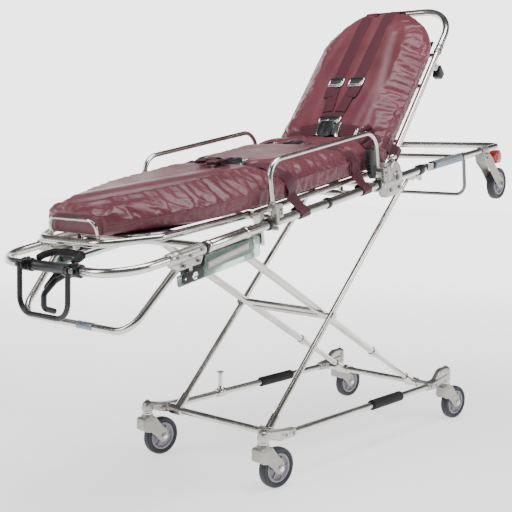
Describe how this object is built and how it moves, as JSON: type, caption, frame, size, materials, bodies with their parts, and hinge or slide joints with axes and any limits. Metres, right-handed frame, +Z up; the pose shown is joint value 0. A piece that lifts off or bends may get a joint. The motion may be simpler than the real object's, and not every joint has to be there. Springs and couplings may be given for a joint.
{
  "type": "stretcher trolley",
  "caption": "Ambulance stretcher trolley on crossed folding legs and swivel casters, with a padded litter, raised backrest, fold-down side arms and a hinged loading frame.",
  "frame": {"origin": "bottom centre of the bounding box, on the floor", "axes": "+X from the foot end to the head end, +Y to the patient's left, +Z up"},
  "size_m": [2.1531, 0.592, 1.5805],
  "materials": {
    "satin_tube": "polished tube",
    "cast_alloy": "satin cast",
    "steel_pin": "satin",
    "black_foam": "matte",
    "black_plastic": "fine grain",
    "hub_plastic": "satin",
    "tyre": "matte",
    "green_panel": "gloss",
    "red_plastic": "gloss",
    "vinyl": "soft vinyl",
    "webbing": "woven"
  },
  "bodies": {
    "base": {"base_tubes": "satin_tube", "corner_castings": "cast_alloy", "foam_sleeves": "black_foam", "lock_post": "steel_pin"},
    "outer_legs": {"outer_legs": "satin_tube"},
    "inner_legs_lower": {"inner_legs_lower": "satin_tube"},
    "inner_legs_upper": {"inner_legs_upper": "satin_tube"},
    "carriage": {"lift_carriage": "cast_alloy"},
    "litter": {"litter_tubes": "satin_tube", "handle_frame": "satin_tube", "lower_bail": "satin_tube", "foot_castings": "cast_alloy", "rail_collars": "black_plastic", "arm_mounts": "cast_alloy", "lock_housings": "black_plastic", "guard_panels": "green_panel", "seat_deck": "black_plastic", "foot_controls": "black_plastic", "control_mount": "steel_pin", "seat_mattress": "vinyl", "lap_belt": "webbing"},
    "foot_section": {"foot_frame": "satin_tube", "foot_deck": "black_plastic", "foot_mattress": "vinyl"},
    "foot_prop": {"foot_prop": "steel_pin"},
    "backrest": {"back_frame": "satin_tube", "back_extension": "satin_tube", "back_deck": "black_plastic", "back_mattress": "vinyl", "harness": "webbing"},
    "back_knob": {"back_knob": "black_plastic"},
    "strut_cylinder": {"strut_cylinder": "black_plastic"},
    "strut_rod": {"strut_rod": "steel_pin"},
    "drop_frame": {"drop_tubes": "satin_tube", "load_forks": "cast_alloy", "corner_bumpers": "red_plastic"},
    "head_bail": {"head_bail": "black_plastic"},
    "load_wheel_right": {"load_tyre_right": "tyre", "load_hub_right": "hub_plastic"},
    "load_wheel_left": {"load_tyre_left": "tyre", "load_hub_left": "hub_plastic"},
    "side_arm_right": {"side_arm_right": "satin_tube"},
    "side_arm_left": {"side_arm_left": "satin_tube"},
    "arm_lever_right": {"arm_lever_right": "black_plastic"},
    "arm_lever_left": {"arm_lever_left": "black_plastic"},
    "lift_loop": {"lift_loop": "black_plastic"},
    "control_handle": {"control_handle": "black_plastic"},
    "trigger": {"trigger": "black_plastic"},
    "caster_foot_right": {"caster_fork_foot_right": "cast_alloy"},
    "wheel_foot_right": {"caster_tyre_foot_right": "tyre", "caster_hub_foot_right": "hub_plastic"},
    "caster_foot_left": {"caster_fork_foot_left": "cast_alloy"},
    "wheel_foot_left": {"caster_tyre_foot_left": "tyre", "caster_hub_foot_left": "hub_plastic"},
    "caster_head_right": {"caster_fork_head_right": "cast_alloy"},
    "wheel_head_right": {"caster_tyre_head_right": "tyre", "caster_hub_head_right": "hub_plastic"},
    "caster_head_left": {"caster_fork_head_left": "cast_alloy"},
    "wheel_head_left": {"caster_tyre_head_left": "tyre", "caster_hub_head_left": "hub_plastic"}
  },
  "joints": [
    {"name": "caster_swivel_foot_right", "type": "hinge", "parent": "base", "child": "caster_foot_right", "pos_m": [-0.44, -0.25, 0], "axis": [0, 0, 1], "continuous": true},
    {"name": "caster_roll_foot_right", "type": "hinge", "parent": "caster_foot_right", "child": "wheel_foot_right", "pos_m": [-0.38355, -0.25793, 0.0635], "axis": [0.1392, 0.9903, 0], "continuous": true},
    {"name": "caster_swivel_foot_left", "type": "hinge", "parent": "base", "child": "caster_foot_left", "pos_m": [-0.44, 0.25, 0], "axis": [0, 0, 1], "continuous": true},
    {"name": "caster_roll_foot_left", "type": "hinge", "parent": "caster_foot_left", "child": "wheel_foot_left", "pos_m": [-0.38355, 0.24207, 0.0635], "axis": [0.1392, 0.9903, 0], "continuous": true},
    {"name": "caster_swivel_head_right", "type": "hinge", "parent": "base", "child": "caster_head_right", "pos_m": [0.68, -0.25, 0], "axis": [0, 0, 1], "continuous": true},
    {"name": "caster_roll_head_right", "type": "hinge", "parent": "caster_head_right", "child": "wheel_head_right", "pos_m": [0.73645, -0.25793, 0.0635], "axis": [0.1392, 0.9903, 0], "continuous": true},
    {"name": "caster_swivel_head_left", "type": "hinge", "parent": "base", "child": "caster_head_left", "pos_m": [0.68, 0.25, 0], "axis": [0, 0, 1], "continuous": true},
    {"name": "caster_roll_head_left", "type": "hinge", "parent": "caster_head_left", "child": "wheel_head_left", "pos_m": [0.73645, 0.24207, 0.0635], "axis": [0.1392, 0.9903, 0], "continuous": true},
    {"name": "lift_fold", "type": "hinge", "parent": "base", "child": "outer_legs", "pos_m": [-0.355, 0, 0.155], "axis": [0, -1, 0], "range_deg": [-35.2, 0]},
    {"name": "inner_leg_turn", "type": "hinge", "parent": "base", "child": "inner_legs_lower", "pos_m": [0.58, 0, 0.155], "axis": [0, 1, 0], "range_deg": [-19.25, 0.1]},
    {"name": "leg_telescope", "type": "slide", "parent": "inner_legs_lower", "child": "inner_legs_upper", "axis": [-0.8767, 0, 0.4811], "range_m": [-0.2098, 0.0005]},
    {"name": "litter_level", "type": "hinge", "parent": "outer_legs", "child": "litter", "pos_m": [0.43491, 0, 0.9497], "axis": [0, -1, 0], "range_deg": [-0.1, 24.98]},
    {"name": "carriage_slide", "type": "slide", "parent": "litter", "child": "carriage", "axis": [0.983, 0, 0.1837], "range_m": [-0.225, 0.0005]},
    {"name": "foot_raise", "type": "hinge", "parent": "litter", "child": "foot_section", "pos_m": [-0.4852, 0, 0.84081], "axis": [0, 1, 0], "range_deg": [0, 26]},
    {"name": "foot_prop_swing", "type": "hinge", "parent": "foot_section", "child": "foot_prop", "pos_m": [-0.7825, 0, 0.80068], "axis": [0, 1, 0], "range_deg": [-0.1, 56.8]},
    {"name": "backrest_tilt", "type": "hinge", "parent": "litter", "child": "backrest", "pos_m": [0.21479, 0, 0.94925], "axis": [0, -1, 0], "range_deg": [-35, 24]},
    {"name": "back_knob_pull", "type": "slide", "parent": "backrest", "child": "back_knob", "axis": [0.8089, 0, -0.588], "range_m": [0, 0.01], "stiffness_N_per_m": 400},
    {"name": "strut_turn", "type": "hinge", "parent": "litter", "child": "strut_cylinder", "pos_m": [0.24285, 0, 0.91889], "axis": [0, -1, 0], "range_deg": [-34.7, 23.8]},
    {"name": "strut_stroke", "type": "slide", "parent": "strut_cylinder", "child": "strut_rod", "axis": [0.5588, 0, 0.8293], "range_m": [-0.0255, 0.0177]},
    {"name": "drop_frame_fold", "type": "hinge", "parent": "litter", "child": "drop_frame", "pos_m": [0.4496, 0, 0.98296], "axis": [0, 1, 0], "range_deg": [0, 90]},
    {"name": "head_bail_swing", "type": "hinge", "parent": "drop_frame", "child": "head_bail", "pos_m": [0.76288, 0, 1.03139], "axis": [0, 1, 0], "range_deg": [0, 65]},
    {"name": "load_wheel_roll_right", "type": "hinge", "parent": "drop_frame", "child": "load_wheel_right", "pos_m": [1.01195, -0.265, 0.91912], "axis": [0, 1, 0], "continuous": true},
    {"name": "load_wheel_roll_left", "type": "hinge", "parent": "drop_frame", "child": "load_wheel_left", "pos_m": [1.01195, 0.265, 0.91912], "axis": [0, 1, 0], "continuous": true},
    {"name": "arm_fold_right", "type": "hinge", "parent": "litter", "child": "side_arm_right", "pos_m": [-0.44514, -0.287, 0.84422], "axis": [0.983, 0, 0.1837], "range_deg": [0, 165]},
    {"name": "arm_release_right", "type": "hinge", "parent": "side_arm_right", "child": "arm_lever_right", "pos_m": [0.08781, -0.262, 1.03539], "axis": [0, -1, 0], "range_deg": [-12, 0], "stiffness_Nm_per_rad": 2, "springref_deg": 17.19},
    {"name": "arm_fold_left", "type": "hinge", "parent": "litter", "child": "side_arm_left", "pos_m": [-0.44514, 0.287, 0.84422], "axis": [-0.983, 0, -0.1837], "range_deg": [0, 165]},
    {"name": "arm_release_left", "type": "hinge", "parent": "side_arm_left", "child": "arm_lever_left", "pos_m": [0.08781, 0.262, 1.03539], "axis": [0, -1, 0], "range_deg": [-12, 0], "stiffness_Nm_per_rad": 2, "springref_deg": 17.19},
    {"name": "lift_loop_swing", "type": "hinge", "parent": "litter", "child": "lift_loop", "pos_m": [-1.07017, 0, 0.70958], "axis": [0, 1, 0], "range_deg": [0, 100]},
    {"name": "control_squeeze", "type": "hinge", "parent": "litter", "child": "control_handle", "pos_m": [-0.98766, 0, 0.68789], "axis": [0, 1, 0], "range_deg": [0, 14], "stiffness_Nm_per_rad": 4, "springref_deg": -17.19},
    {"name": "trigger_squeeze", "type": "hinge", "parent": "litter", "child": "trigger", "pos_m": [-0.98766, 0, 0.68789], "axis": [0, 1, 0], "range_deg": [0, 12], "stiffness_Nm_per_rad": 2, "springref_deg": -17.19}
  ],
  "couplings": [
    {"joint": "inner_leg_turn", "follows": "lift_fold", "ratio": 0.54119},
    {"joint": "leg_telescope", "follows": "lift_fold", "m_per_rad": 0.34061},
    {"joint": "litter_level", "follows": "lift_fold", "ratio": -0.704},
    {"joint": "carriage_slide", "follows": "lift_fold", "m_per_rad": 0.36541},
    {"joint": "foot_prop_swing", "follows": "foot_raise", "ratio": 2.177},
    {"joint": "strut_turn", "follows": "backrest_tilt", "ratio": 0.985},
    {"joint": "strut_stroke", "follows": "backrest_tilt", "m_per_rad": 0.041}
  ]
}
